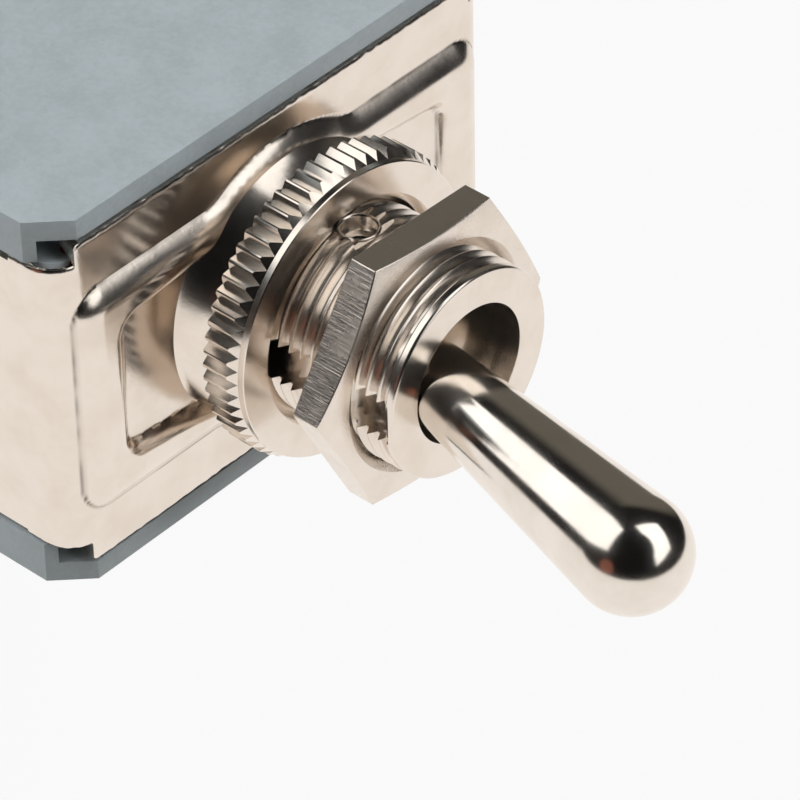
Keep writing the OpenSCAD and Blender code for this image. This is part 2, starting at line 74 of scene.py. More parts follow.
# Bushing: the thread ends FRONT_H below the end face, where the run-out groove and the collar follow.
BUSHING_R = bushing_high[0]
BUSHING_TOP = bushing_high[2]
BUSHING_FOOT = bushing_low[2]
THREAD_PITCH = 0.75
THREAD_DEPTH = 0.46
FRONT_H = 0.9
GROOVE_R = BUSHING_R - 0.35
COLLAR_R = BUSHING_R - 0.03
MOUTH_R = 3.94
MOUTH_DEPTH = 1.3
BORE_R = 3.7
SPIGOT_R = 5.0
SWAGE_R = 5.6
KEYWAY_W = 2.45
KEYWAY_DEPTH = 0.9
KEYWAY_LAND = 0.2
KEYWAY_CUTTER_R = 3.0

# Pivot pin and its holes.
PIVOT_Z = 3.0
PIN_R = 1.15
PIN_CUP_R = 0.95
PIN_HOLE_R = 0.5
PIN_SEAT_R = 1.16
LEVER_HOLE_R = 1.19
SPOTFACE_R = 1.85
SPOTFACE_DEPTH = 0.35

# Lever.
LEVER_TILT = math.radians(13)
LEVER_LENGTH = 23.15
TIP_R = 3.18
BALL_R = 3.5
ROOT_R = 1.5
TAIL_R = 1.6
TAIL_L = 12.0

# Nuts.
RING_R = ring_high[0]
RING_H = ring_high[2]
RING_TEETH = 64
KNURL_END = 1.6
RUNOUT_END = 2.12
HEX_Z = hex_low[2]
HEX_H = hex_high[2] - hex_low[2]
HEX_AF = 15.0
HEX_FACE_R = 7.4
HEX_FALL = 0.2857
HEX_TURN = math.radians(-2.4)
NUT_BORE_R = BUSHING_R - 0.06
NUT_SINK_R = 6.6
NUT_SINK_H = 0.5

# Frame: NOTCH_U is where the plate steps in to the straps' width.
SHEET = 0.6
BASE_Z = -2.5
BEND_R = 2.0
TAB_L = 1.7
PLATE_HALF_L = frame_high[0] - BEND_R
PLATE_HALF_W = frame_high[1]
NOTCH_U = PLATE_HALF_L + 0.45
STRAP_HALF_W = 9.15
STRAP_START = 1.2
PLATEAU_H = 0.72
PLATEAU_HALF_L = 15.2
PLATEAU_HALF_W = 7.15
PLATEAU_CORNER = 1.8
PLATEAU_WALL = 1.45
LOBE_R = 8.75
LOBE_FILLET = 3.0
POCKET_X = 12.0
POCKET_HALF_W = 4.0
POCKET_TAPER = 0.1
POCKET_CORNER = 0.6
POCKET_WALL = 0.95
BOSS_FOOT_R = 8.1
BOSS_TOP_R = 7.2
BOSS_ROUND = 0.8


# ---------------------------------------------------------------- node helpers

class Nodes:
    """A short way to write a material's or the world's nodes."""

    def __init__(self, owner):
        owner.use_nodes = True
        self.tree = owner.node_tree
        self.tree.nodes.clear()

    def add(self, kind, inputs=None, **settings):
        node = self.tree.nodes.new(kind)
        for key, value in settings.items():
            setattr(node, key, value)
        for key, value in (inputs or {}).items():
            self.set(node.inputs[key], value)
        return node

    def set(self, socket, value):
        if isinstance(value, bpy.types.NodeSocket):
            self.tree.links.new(value, socket)
        else:
            socket.default_value = value

    def math(self, operation, *values, clamp=False):
        node = self.add("ShaderNodeMath", operation=operation, use_clamp=clamp)
        for socket, value in zip(node.inputs, values):
            self.set(socket, value)
        return node.outputs[0]

    def dot(self, vector, constant):
        node = self.add("ShaderNodeVectorMath", operation="DOT_PRODUCT")
        self.set(node.inputs[0], vector)
        node.inputs[1].default_value = constant
        return node.outputs["Value"]

    def ramp(self, value, low, high):
        node = self.add("ShaderNodeMapRange", interpolation_type="SMOOTHSTEP")
        self.set(node.inputs["Value"], value)
        node.inputs["From Min"].default_value = low
        node.inputs["From Max"].default_value = high
        return node.outputs["Result"]

    def mix(self, factor, a, b):
        node = self.add("ShaderNodeMix", data_type="RGBA")
        self.set(node.inputs["Factor"], factor)
        self.set(node.inputs["A"], a)
        self.set(node.inputs["B"], b)
        return node.outputs["Result"]

    def noise(self, vector, scale, detail=3.0, roughness=0.5):
        node = self.add("ShaderNodeTexNoise", {"Vector": vector, "Scale": scale, "Detail": detail,
                                               "Roughness": roughness})
        return node.outputs["Fac"]

    def stretch(self, scale):
        """Object coordinates, in metres, times a scale on each axis."""
        coords = self.add("ShaderNodeTexCoord")
        node = self.add("ShaderNodeMapping")
        self.tree.links.new(coords.outputs["Object"], node.inputs["Vector"])
        node.inputs["Scale"].default_value = scale
        return node.outputs["Vector"]


def rgb(r, g, b):
    return (r, g, b, 1.0)


def new_material(name):
    material = bpy.data.materials.new(name)
    return material, Nodes(material)


def connect_surface(n, shader, kind="ShaderNodeOutputMaterial"):
    out = n.add(kind)
    n.tree.links.new(shader.outputs[0], out.inputs["Surface"])


PER_MM = (1000, 1000, 1000)
NICKEL = (0.83, 0.765, 0.70)
POLISHED_NICKEL = (0.85, 0.80, 0.745)
PATCH_SHADE = (0.93, 0.92, 0.90)
# Near-black painted into the sheet's colour as shade along the foot of its pressed walls.
CREASE_SHADE_COLOUR = (0.10, 0.075, 0.055)


def metal(name, colour, roughness, height, bumps, stain=None, crease_shade=None):
    """Bright metal: bumps is a function that returns its relief, 0 to 1, from the nodes."""
    material, n = new_material(name)
    plain = n.stretch(PER_MM)
    patches = n.noise(plain, 0.35, 4, 0.6)
    low, high = roughness
    rough = n.add("ShaderNodeMapRange", {"Value": patches, "From Min": 0.3, "From Max": 0.7,
                                         "To Min": low, "To Max": high})
    shaded = [c * s for c, s in zip(colour, PATCH_SHADE)]
    tint = n.mix(n.ramp(patches, 0.35, 0.75), rgb(*colour), rgb(*shaded))
    if stain:
        spots = n.ramp(n.noise(plain, 1.9, 5, 0.65), 0.66, 0.78)
        tint = n.mix(spots, tint, rgb(*stain))
    # Painted shade: a vertex layer darkens the colour towards near-black along the creases.
    if crease_shade:
        crease = n.add("ShaderNodeAttribute", attribute_name=crease_shade).outputs["Fac"]
        tint = n.mix(crease, tint, rgb(*CREASE_SHADE_COLOUR))
    bump = n.add("ShaderNodeBump", {"Strength": 1.0, "Distance": height * MM, "Height": bumps(n, plain)})
    shader = n.add("ShaderNodeBsdfPrincipled", {"Base Color": tint, "Metallic": 1.0,
                                                "Roughness": rough.outputs["Result"],
                                                "Normal": bump.outputs["Normal"]})
    connect_surface(n, shader)
    return material


def dull(name, colour, roughness, height, scale, spread):
    """Moulded, board or nylon surfaces: fine grain with patches of shade."""
    material, n = new_material(name)
    plain = n.stretch(PER_MM)
    patches = n.noise(plain, 0.25, 5, 0.6)
    grain = n.noise(plain, scale, 4, 0.6)
    dark = [c * (1 - spread) for c in colour]
    light = [min(1, c * (1 + spread)) for c in colour]
    shade = n.math("ADD", n.math("MULTIPLY", patches, 0.6), n.math("MULTIPLY", grain, 0.4))
    tint = n.mix(n.ramp(shade, 0.35, 0.65), rgb(*dark), rgb(*light))
    rough = n.add("ShaderNodeMapRange", {"Value": grain, "From Min": 0.3, "From Max": 0.7,
                                         "To Min": roughness - 0.06, "To Max": roughness + 0.08})
    bump = n.add("ShaderNodeBump", {"Strength": 1.0, "Distance": height * MM, "Height": grain})
    shader = n.add("ShaderNodeBsdfPrincipled", {"Base Color": tint, "Roughness": rough.outputs["Result"],
                                                "Normal": bump.outputs["Normal"]})
    connect_surface(n, shader)
    return material


def orange_peel(n, plain):
    """Stamped sheet: soft waves and grain, with creases along Y where the sheet is bent."""
    waves = n.noise(plain, 0.9, 3, 0.5)
    grain = n.noise(plain, 7.0, 4, 0.6)
    creases = n.noise(n.stretch((5200, 1300, 5200)), 1.0, 4, 0.65)
    parts = n.add("ShaderNodeSeparateXYZ", {"Vector": plain})
    bent = n.ramp(n.math("ABSOLUTE", parts.outputs["X"]), PLATE_HALF_L - 1.2, PLATE_HALF_L + 0.4)
    flat = n.math("ADD", n.math("MULTIPLY", waves, 0.75), n.math("MULTIPLY", grain, 0.12))
    return n.math("ADD", flat, n.math("MULTIPLY", n.math("MULTIPLY", creases, bent), 0.75))


def turning_marks(n, plain):
    """Fine rings round the bushing's axis with a little random grain."""
    flat = n.stretch((1000, 1000, 0))
    length = n.add("ShaderNodeVectorMath", operation="LENGTH")
    n.set(length.inputs[0], flat)
    rings = n.add("ShaderNodeTexNoise", {"Scale": 9.0, "Detail": 3.0}, noise_dimensions="1D")
    n.set(rings.inputs["W"], length.outputs["Value"])
    grain = n.math("MULTIPLY", n.noise(plain, 6, 3), 0.4)
    return n.math("ADD", n.math("MULTIPLY", rings.outputs["Fac"], 0.6), grain)


def milled_streaks(n, plain):
    """Streaks along Z, as on bar stock that has been drawn and plated."""
    return n.noise(n.stretch((9000, 9000, 350)), 1.0, 4, 0.65)


def fine_polish(n, plain):
    """Faint scratches along Z over soft waves."""
    scratches = n.noise(n.stretch((5200, 5200, 420)), 1.0, 4, 0.6)
    return n.math("ADD", n.math("MULTIPLY", scratches, 0.5), n.math("MULTIPLY", n.noise(plain, 3.2, 4), 0.5))


plated_sheet = metal("plated_sheet", NICKEL, (0.15, 0.22), 0.012, orange_peel, crease_shade="crease_shade")
plated_turned = metal("plated_turned", NICKEL, (0.16, 0.24), 0.003, turning_marks)
plated_hex = metal("plated_hex", NICKEL, (0.20, 0.30), 0.016, milled_streaks)
plated_knurl = metal("plated_knurl", NICKEL, (0.14, 0.22), 0.0016, milled_streaks)
plated_lever = metal("plated_lever", POLISHED_NICKEL, (0.10, 0.17), 0.0022, fine_polish)
contact_brass = metal("contact_brass", (0.80, 0.58, 0.26), (0.22, 0.34), 0.004, milled_streaks)
terminal_brass = metal("terminal_brass", (0.78, 0.66, 0.40), (0.24, 0.38), 0.004, milled_streaks,
                       stain=(0.52, 0.40, 0.22))
spring_steel = metal("spring_steel", (0.60, 0.60, 0.62), (0.20, 0.30), 0.002, fine_polish)
contact_silver = metal("contact_silver", (0.86, 0.86, 0.87), (0.16, 0.26), 0.002, fine_polish)
moulded_case = dull("moulded_case", (0.345, 0.385, 0.40), 0.50, 0.012, 3.0, 0.09)
fibre_board = dull("fibre_board", (0.26, 0.13, 0.06), 0.62, 0.02, 5.0, 0.25)
nylon = dull("nylon", (0.80, 0.78, 0.70), 0.45, 0.006, 2.0, 0.06)


# ---------------------------------------------------------------- mesh helpers

def new_object(name, data):
    made = bpy.data.objects.new(name, data)
    bpy.context.scene.collection.objects.link(made)
    return made


def new_mesh(name, bm):
    """Turns a bmesh into a mesh and frees it."""
    mesh = bpy.data.meshes.new(name)
    bm.to_mesh(mesh)
    bm.free()
    return mesh


def finish_piece(name, bm, material, body, node, sharp, bevel=None):
    """Turns a bmesh in millimetres into a piece in metres that rides on a body."""
    bmesh.ops.remove_doubles(bm, verts=bm.verts, dist=0.0005)
    bmesh.ops.recalc_face_normals(bm, faces=bm.faces)
    bmesh.ops.transform(bm, matrix=Matrix.Scale(MM, 4), verts=bm.verts)
    mesh = new_mesh(name, bm)
    mesh.materials.append(material)
    mesh.shade_smooth()
    mesh.set_sharp_from_angle(angle=math.radians(sharp))
    piece = new_object(name, mesh)
    if bevel:
        modifier = piece.modifiers.new("edges", "BEVEL")
        modifier.width = bevel * MM
        modifier.segments = 2
        modifier.limit_method = "ANGLE"
        modifier.angle_limit = math.radians(40)
    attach(piece, body)
    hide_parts(node)


def lathe(profile, steps, closed=True):
    """Spins a profile of (radius, height) round Z; one that isn't closed starts and ends on the axis."""
    bm = bmesh.new()
    verts = [bm.verts.new((r, 0, z)) for r, z in profile]
    following = verts[1:] + verts[:1] if closed else verts[1:]
    edges = [bm.edges.new(pair) for pair in zip(verts, following)]
    bmesh.ops.spin(bm, geom=verts + edges, cent=(0, 0, 0), axis=(0, 0, 1), angle=TAU, steps=steps,
                   use_merge=True)
    return bm


def cut(bm, cutters):
    """Takes cutter meshes out of a mesh and gives the mesh back."""
    objects = []
    for part in [bm] + cutters:
        bmesh.ops.recalc_face_normals(part, faces=part.faces)
        objects.append(new_object("blank", new_mesh("blank", part)))
    blank = objects[0]
    for cutter in objects[1:]:
        modifier = blank.modifiers.new("cut", "BOOLEAN")
        modifier.operation = "DIFFERENCE"
        modifier.solver = "EXACT"
        modifier.object = cutter
    depsgraph = bpy.context.evaluated_depsgraph_get()
    result = bmesh.new()
    result.from_mesh(blank.evaluated_get(depsgraph).to_mesh())
    for part in objects:
        bpy.data.objects.remove(part)
    return result


def place(bm, angle, axis, height):
    """Turns a mesh about an axis through the origin, then lifts it."""
    bmesh.ops.rotate(bm, cent=(0, 0, 0), matrix=Matrix.Rotation(angle, 3, axis), verts=bm.verts)
    bmesh.ops.translate(bm, vec=(0, 0, height), verts=bm.verts)


def cylinder_y(radius, depth, centre, segments=64):
    """A cylinder along Y."""
    bm = bmesh.new()
    bmesh.ops.create_cone(bm, cap_ends=True, segments=segments, radius1=radius, radius2=radius, depth=depth)
    bmesh.ops.rotate(bm, cent=(0, 0, 0), matrix=Matrix.Rotation(TAU / 4, 3, "X"), verts=bm.verts)
    bmesh.ops.translate(bm, vec=centre, verts=bm.verts)
    return bm


def box(low, high):
    bm = bmesh.new()
    bmesh.ops.create_cube(bm, size=1)
    bmesh.ops.scale(bm, vec=[h - l for l, h in zip(low, high)], verts=bm.verts)
    bmesh.ops.translate(bm, vec=[(l + h) / 2 for l, h in zip(low, high)], verts=bm.verts)
    return bm


def ring_edges(bm, z):
    """The open edges that lie at one height."""
    return [e for e in bm.edges if e.is_boundary and all(abs(v.co.z - z) < SNAP for v in e.verts)]


def extrude(bm, edges):
    """Extrudes open edges in place, and gives the new edges and vertices."""
    grown = bmesh.ops.extrude_edge_only(bm, edges=edges)["geom"]
    return ([g for g in grown if isinstance(g, bmesh.types.BMEdge)],
            [g for g in grown if isinstance(g, bmesh.types.BMVert)])


def extend_ring(bm, edges, profile):
    """Carries an open ring of edges on through (radius, height) steps; radius may be a function of angle."""
    for radius, z in profile:
        edges, verts = extrude(bm, edges)
        for v in verts:
            angle = math.atan2(v.co.y, v.co.x)
            r = radius(angle) if callable(radius) else radius
            v.co = (r * math.cos(angle), r * math.sin(angle), z)


# ---------------------------------------------------------------- thread and bushing

# How near a vertex of the thread lies to a cut end to be taken as on it.
SNAP = 0.002
# Share of a pitch along the thread, and share of its depth below the crest.
THREAD_FORM = [(0.0, 0.0), (0.05, 0.0), (0.08, 0.06), (0.22, 0.45), (0.37, 0.90), (0.43, 1.0),
               (0.62, 1.0), (0.68, 0.90), (0.83, 0.45), (0.97, 0.06)]


def thread_radius(angle, z, start):
    """Radius of the thread's surface where a plane at height z cuts it."""
    share = ((z - start) / THREAD_PITCH - (angle % TAU) / TAU) % 1.0
    form = THREAD_FORM + [(1.0, 0.0)]
    for (t0, d0), (t1, d1) in zip(form, form[1:]):
        if t0 <= share <= t1:
            return BUSHING_R - THREAD_DEPTH * (d0 + (d1 - d0) * (share - t0) / (t1 - t0))
    return BUSHING_R


def threaded_tube(start, end, columns=160):
    """Open tube with a right-hand thread, cut off flat at both ends."""
    bm = bmesh.new()
    turns = math.ceil((end - start) / THREAD_PITCH) + 1
    rows = [(start + (turn - 1 + t) * THREAD_PITCH, BUSHING_R - THREAD_DEPTH * d)
            for turn in range(turns) for t, d in THREAD_FORM]
    verts = [bm.verts.new((r, 0, z)) for z, r in rows]
    edges = [bm.edges.new(pair) for pair in zip(verts, verts[1:])]
    bmesh.ops.spin(bm, geom=verts + edges, cent=(0, 0, 0), axis=(0, 0, 1), angle=TAU, steps=columns,
                   dvec=(0, 0, THREAD_PITCH / columns), use_merge=False)
    bmesh.ops.remove_doubles(bm, verts=bm.verts, dist=0.001)
    for v in bm.verts:
        z = v.co.z
        if z < start + SNAP:
            z = start
        elif z >= end - SNAP:
            z = end
        if z != v.co.z:
            angle = math.atan2(v.co.y, v.co.x)
            r = thread_radius(angle, z, start)
            v.co = (r * math.cos(angle), r * math.sin(angle), z)
    bmesh.ops.remove_doubles(bm, verts=bm.verts, dist=0.001)
    bmesh.ops.dissolve_degenerate(bm, edges=bm.edges, dist=0.0005)
    return bm


def bushing():
    """Threaded tube carried on over its front end, down the bore and round the swaged foot, then cut."""
    top, foot = BUSHING_TOP, BUSHING_FOOT
    end = top - FRONT_H
    bm = threaded_tube(0.0, end)
    groove = [(GROOVE_R, end + 0.05), (GROOVE_R, end + 0.25), (GROOVE_R + 0.1, end + 0.3)]
    collar = [(COLLAR_R - 0.07, end + 0.36), (COLLAR_R, end + 0.45), (COLLAR_R, top - 0.16),
              (COLLAR_R - 0.02, top - 0.09), (COLLAR_R - 0.09, top - 0.02), (COLLAR_R - 0.14, top)]
    mouth = [(MOUTH_R + 0.09, top), (MOUTH_R + 0.02, top - 0.02), (MOUTH_R, top - 0.08),
             (MOUTH_R, top - MOUTH_DEPTH), (MOUTH_R - 0.04, top - MOUTH_DEPTH - 0.2)]
    bore = [(BORE_R + 0.02, top - 3.2), (BORE_R, top - 3.4), (BORE_R, foot + 0.1), (BORE_R + 0.1, foot)]
    swage = [(SWAGE_R - 0.2, foot), (SWAGE_R, foot + 0.2), (SWAGE_R, -SHEET), (SPIGOT_R, -SHEET),
             (SPIGOT_R, 0.0), (lambda angle: thread_radius(angle, 0.0, 0.0), 0.0)]
    extend_ring(bm, ring_edges(bm, end), groove + collar + mouth + bore + swage)
    bmesh.ops.remove_doubles(bm, verts=bm.verts, dist=0.001)

    floor_x = -(BUSHING_R - KEYWAY_DEPTH)
    rise = math.sqrt(KEYWAY_CUTTER_R ** 2 - (KEYWAY_CUTTER_R - KEYWAY_DEPTH) ** 2)
    run_out = top - KEYWAY_LAND - rise
    spot_y = BUSHING_R - SPOTFACE_DEPTH + 1
    return cut(bm, [
        box((floor_x - 2, -KEYWAY_W / 2, -0.5), (floor_x, KEYWAY_W / 2, run_out)),
        cylinder_y(KEYWAY_CUTTER_R, KEYWAY_W, (floor_x - KEYWAY_CUTTER_R, 0, run_out), 128),
        cylinder_y(SPOTFACE_R, 2, (0, spot_y, PIVOT_Z)),
        cylinder_y(SPOTFACE_R, 2, (0, -spot_y, PIVOT_Z)),
        cylinder_y(PIN_SEAT_R, 14, (0, 0, PIVOT_Z)),
    ])


# ---------------------------------------------------------------- pin, nuts and lever

def pivot_pin():
    """Turned pin along Y with a flared cup in each end."""
    end = BUSHING_R - 0.25
    cup = [(PIN_HOLE_R, 0.0), (PIN_HOLE_R, end - 1.0), (PIN_HOLE_R + 0.12, end - 0.95),
           (PIN_CUP_R - 0.09, end - 0.9), (PIN_CUP_R - 0.03, end - 0.8), (PIN_CUP_R, end - 0.12)]
    lip = [(PIN_CUP_R + 0.07, end - 0.02), (PIN_R - 0.07, end), (PIN_R - 0.02, end - 0.03),
           (PIN_R, end - 0.12), (PIN_R, 0.0)]
    half = cup + lip
    bm = lathe(half + [(r, -z) for r, z in reversed(half[1:-1])], 48)
    place(bm, TAU / 4, "X", PIVOT_Z)
    return bm


def threaded_bore(top, back):
    """A nut's inside from its countersunk front face to its back face; back is the (radius, height) there."""
    return [(NUT_SINK_R + 0.02, top), (NUT_SINK_R - 0.02, top - 0.02), (NUT_BORE_R, top - NUT_SINK_H)] + back


def ring_nut():
    """Knurled ring: a lathe whose outer rows are drawn in between the crests."""
    crest = RING_R
    core = crest - 0.38
    outside = [(crest - 0.05, 0.0), (crest, 0.05), (crest, KNURL_END), (core, RUNOUT_END + 0.01),
               (core, RING_H - 0.05), (core - 0.05, RING_H)]
    bm = lathe(outside + threaded_bore(RING_H, [(NUT_BORE_R, 0.3), (6.5, 0.0)]), RING_TEETH * 10)
    for v in bm.verts:
        start = math.hypot(v.co.x, v.co.y)
        if start < core + 0.001:
            continue
        turn = math.atan2(v.co.y, v.co.x) * RING_TEETH / TAU
        tooth = math.floor(turn + 1e-4)
        off = abs(turn - tooth - 0.5) * 2
        worn = 0.02 + 0.02 * noise.noise(Vector((tooth * 1.7, v.co.z, 0)))
        r = min(start, crest - worn, crest - (crest - core) * max(0.0, (off - 0.1) / 0.9))
        v.co.x *= r / start
        v.co.y *= r / start
        if abs(v.co.z - KNURL_END) < 0.01:
            v.co.z += (RUNOUT_END - KNURL_END) * (crest - r) / (crest - core)
    return bm


def hex_nut(per_side=24):
    """Hex with the corners turned off: each column follows the flats, then the cone."""
    blank_r = 9.5
    outside = [(blank_r, 0.0), (blank_r, 1.0), (HEX_FACE_R, HEX_H)]
    inside = threaded_bore(HEX_H, [(NUT_BORE_R, NUT_SINK_H), (NUT_SINK_R, 0.0)])
    bm = lathe(outside + inside, 6 * per_side)
    for v in bm.verts:
        if math.hypot(v.co.x, v.co.y) < blank_r - 0.5:
            continue
        angle = math.atan2(v.co.y, v.co.x)
        flat_r = HEX_AF / 2 / math.cos((angle % (TAU / 6)) - TAU / 12)
        v.co.x, v.co.y = flat_r * math.cos(angle), flat_r * math.sin(angle)
        if v.co.z > 0.5:
            v.co.z = HEX_H - HEX_FALL * (flat_r - HEX_FACE_R)
    place(bm, HEX_TURN, "Z", HEX_Z)
    return bm


def arc(radius, height, low, high, steps):
    """Points on a circle centred on the axis at a height, from one angle to another."""
    angles = [low + (high - low) * i / steps for i in range(steps + 1)]
    return [(radius * math.cos(a), height + radius * math.sin(a)) for a in angles]


def lever():
    """Ball, cone and round tip in one turned piece, leaned over by the lever's tilt."""
    ball = arc(BALL_R, 0.0, -math.acos(TAIL_R / BALL_R), math.acos((ROOT_R + 0.3) / BALL_R), 20)
    spread = math.asin((TIP_R - ROOT_R) / LEVER_LENGTH)
    tip = arc(TIP_R, LEVER_LENGTH, -spread, TAU / 4, 39)
    tip[-1] = (0.0, LEVER_LENGTH + TIP_R)
    bm = lathe([(0.0, -TAIL_L), (TAIL_R, -TAIL_L)] + ball + tip, 128, closed=False)
    bmesh.ops.remove_doubles(bm, verts=bm.verts, dist=0.001)
    bm = cut(bm, [cylinder_y(LEVER_HOLE_R, 12, (0, 0, 0))])
    place(bm, -LEVER_TILT, "Y", PIVOT_Z)
    return bm


# ---------------------------------------------------------------- stamped frame

def smooth(t):
    """Eases 0 to 1."""
    t = min(1.0, max(0.0, t))
    return t * t * (3 - 2 * t)


def wall_form(t, width):
    """Share of a pressed wall's height, t inside its foot: a sharp foot and a well rounded shoulder."""
    if t <= 0:
        return 0.0
    return 0.09 * (1 - math.exp(-t / 0.06)) + 0.91 * math.sin(min(1.0, t / width) * TAU / 4)


def rounded(across, along, corner):
    """How far a point lies outside a rounded corner, from its distances outside the two straight sides."""
    qa, ql = across + corner, along + corner
    return min(max(qa, ql), 0) + math.hypot(max(qa, 0), max(ql, 0)) - corner


def plateau_distance(x, y):
    """How far a point lies outside the plateau's foot; negative inside."""
    x, y = abs(x), abs(y)
    bar = rounded(x - PLATEAU_HALF_L, y - PLATEAU_HALF_W, PLATEAU_CORNER)
    lobe = math.hypot(x, y) - LOBE_R
    reach = LOBE_R + LOBE_FILLET
    cy = PLATEAU_HALF_W + LOBE_FILLET
    cx = math.sqrt(reach ** 2 - cy ** 2)
    side = math.atan2(cx - x, cy - y)
    if 0 <= side <= math.atan2(cx, cy) and y < cy:
        return LOBE_FILLET - math.hypot(cx - x, cy - y)
    return min(bar, lobe)


def pocket_distance(x, y):
    """How far a point lies outside a pocket's floor; negative inside."""
    x, y = abs(x), abs(y)
    across = y - POCKET_HALF_W - (POCKET_X - x) * POCKET_TAPER
    return rounded(across, x - POCKET_X, POCKET_CORNER)


def relief(x, y):
    """Height of the pressed form over the base plate."""
    plateau = wall_form(-plateau_distance(x, y), PLATEAU_WALL)
    return PLATEAU_H * plateau * wall_form(pocket_distance(x, y), POCKET_WALL)


def painted_crease_shade(x, y):
    """Painted shade along the foot of the pressed walls and the pockets' walls, uneven along its length."""
    width = 0.07
    line = math.exp(-(plateau_distance(x, y) / width) ** 2)
    if abs(x) < POCKET_X + 1:
        foot = 0.8 * math.exp(-(pocket_distance(x, y) / width) ** 2)
        line = max(line, foot * smooth((abs(x) - 7.5) / 0.5))
    return line * (0.35 + 0.65 * smooth(0.5 + noise.noise(Vector((x, y, 3.0)) * 0.9)))


def plate_edge(x, y):
    """Draws the sheared edge in a little, unevenly, and rounds the plate's corners."""
    reach = smooth((abs(y) - PLATE_HALF_W + 1.6) / 1.6)
    if abs(x) > NOTCH_U:
        return y
    wave = noise.noise(Vector((x * 0.28, math.copysign(9, y), 0)))
    burr = noise.noise(Vector((x * 3.1, y, 5)))
    y -= math.copysign(reach * (0.05 + 0.05 * wave + 0.012 * burr), y)
    corner = 0.45
    cx, cy = abs(x) - NOTCH_U + corner, abs(y) - PLATE_HALF_W + corner
    if cx > 0 and cy > 0 and math.hypot(cx, cy) > corner:
        y -= math.copysign(cy - math.sqrt(max(0.0, corner ** 2 - min(cx, corner) ** 2)), y)
    return y


def edge_roll(x, y):
    """The sheared edge rolls over a little, with a ragged lip."""
    side = PLATE_HALF_W if abs(x) < NOTCH_U else STRAP_HALF_W
    width, drop = 0.22, 0.09
    t = max(0.0, (abs(y) - side + width) / width)
    return -drop * t * t * (1 + 0.5 * noise.noise(Vector((x * 2.3, y, 1))))


def fold(u, y, height):
    """Takes a point of the flat blank to its place on the folded frame."""
    side = 1 if u > 0 else -1
    run = abs(u) - PLATE_HALF_L
    if run <= 0:
        return Vector((u, y, BASE_Z + height))
    turn = min(run / BEND_R, TAU / 4)
    reach = BEND_R + height
    x = PLATE_HALF_L + reach * math.sin(turn)
    z = BASE_Z - BEND_R + reach * math.cos(turn)
    drop = max(0.0, run - BEND_R * TAU / 4)
    return Vector((side * x, y, z - drop))


def sheared_blank(step=0.14):
    """Flat blank with a fine grid, cut to outline, with a hole under the boss; the straps are begun."""
    half_u = PLATE_HALF_L + BEND_R * TAU / 4 + STRAP_START
    bm = bmesh.new()
    columns, rows = round(2 * half_u / step), round(2 * PLATE_HALF_W / step)
    bmesh.ops.create_grid(bm, x_segments=columns, y_segments=rows, size=1)
    bmesh.ops.scale(bm, vec=(half_u, PLATE_HALF_W, 1), verts=bm.verts)
    for side in (-1, 1):
        for co, no in (((0, side * STRAP_HALF_W, 0), (0, 1, 0)), ((side * NOTCH_U, 0, 0), (1, 0, 0))):
            bmesh.ops.bisect_plane(bm, geom=bm.verts[:] + bm.edges[:] + bm.faces[:], dist=1e-4, plane_co=co,
                                   plane_no=no)
    waste = []
    for f in bm.faces:
        c = f.calc_center_median()
        if (abs(c.x) > NOTCH_U and abs(c.y) > STRAP_HALF_W) or math.hypot(c.x, c.y) < BOSS_TOP_R - 0.7:
            waste.append(f)
    bmesh.ops.delete(bm, geom=waste, context="FACES")
    return bm


def strap_ends(bm):
    """The level open edges at the lower ends of the straps."""
    ends = []
    for e in bm.edges:
        a, b = (v.co for v in e.verts)
        on_face = all(abs(abs(co.x) - frame_high[0]) < 0.01 for co in (a, b))
        if e.is_boundary and on_face and abs(a.z - b.z) < 1e-4 and a.z < BASE_Z - BEND_R - STRAP_START + 0.1:
            ends.append(e)
    return ends


def pressed_sheet():
    """Blank pressed and folded down at both ends, then carried on down the straps and under as tabs."""
    bm = sheared_blank()
    # Vertex layer of painted shade along the foot of the pressed walls, read by the sheet's material.
    crease_shade = bm.verts.layers.float.new("crease_shade")
    for v in bm.verts:
        x, y = v.co.x, v.co.y
        v[crease_shade] = painted_crease_shade(x, y)
        v.co = fold(x, plate_edge(x, y), relief(x, y) + edge_roll(x, y))
    ends = strap_ends(bm)
    side, bottom = frame_high[0], frame_low[2]
    run = [(side, -8.0), (side, -12.0), (side, -16.0), (side, bottom + 0.6), (side - 0.07, bottom + 0.25),
           (side - 0.25, bottom + 0.08), (side - 0.6, bottom), (side - TAB_L, bottom)]
    for x, z in run:
        ends, verts = extrude(bm, ends)
        for v in verts:
            v.co.x, v.co.z = math.copysign(x, v.co.x), z
    bmesh.ops.recalc_face_normals(bm, faces=bm.faces)
    if sum(f.normal.z for f in bm.faces if abs(f.calc_center_median().x) < PLATE_HALF_L) < 0:
        bmesh.ops.reverse_faces(bm, faces=bm.faces)
    bmesh.ops.solidify(bm, geom=bm.faces[:], thickness=SHEET)
    return bm


def boss():
    """Raised seat of the bushing, a drawn cone with a rolled shoulder."""
    slope = math.atan2(BOSS_FOOT_R - BOSS_TOP_R, -BASE_Z)
    flat_r = BOSS_TOP_R - BOSS_ROUND * math.tan((TAU / 4 - slope) / 2)
    shoulder = [(flat_r + BOSS_ROUND * math.sin(a), -BOSS_ROUND * (1 - math.cos(a)))
                for a in [(TAU / 4 - slope) * i / 8 for i in range(9)]]
    hole_r = SPIGOT_R + 0.05
    foot = [(BOSS_FOOT_R - 0.08, BASE_Z + 0.2), (BOSS_FOOT_R + 0.25, BASE_Z - 0.05),
            (BOSS_FOOT_R - 0.45, BASE_Z - 0.3)]
    under = [(r - 0.5, z - SHEET) for r, z in reversed(shoulder)]
    return lathe([(hole_r, 0.0)] + shoulder + foot + under + [(hole_r, -SHEET)], 160)


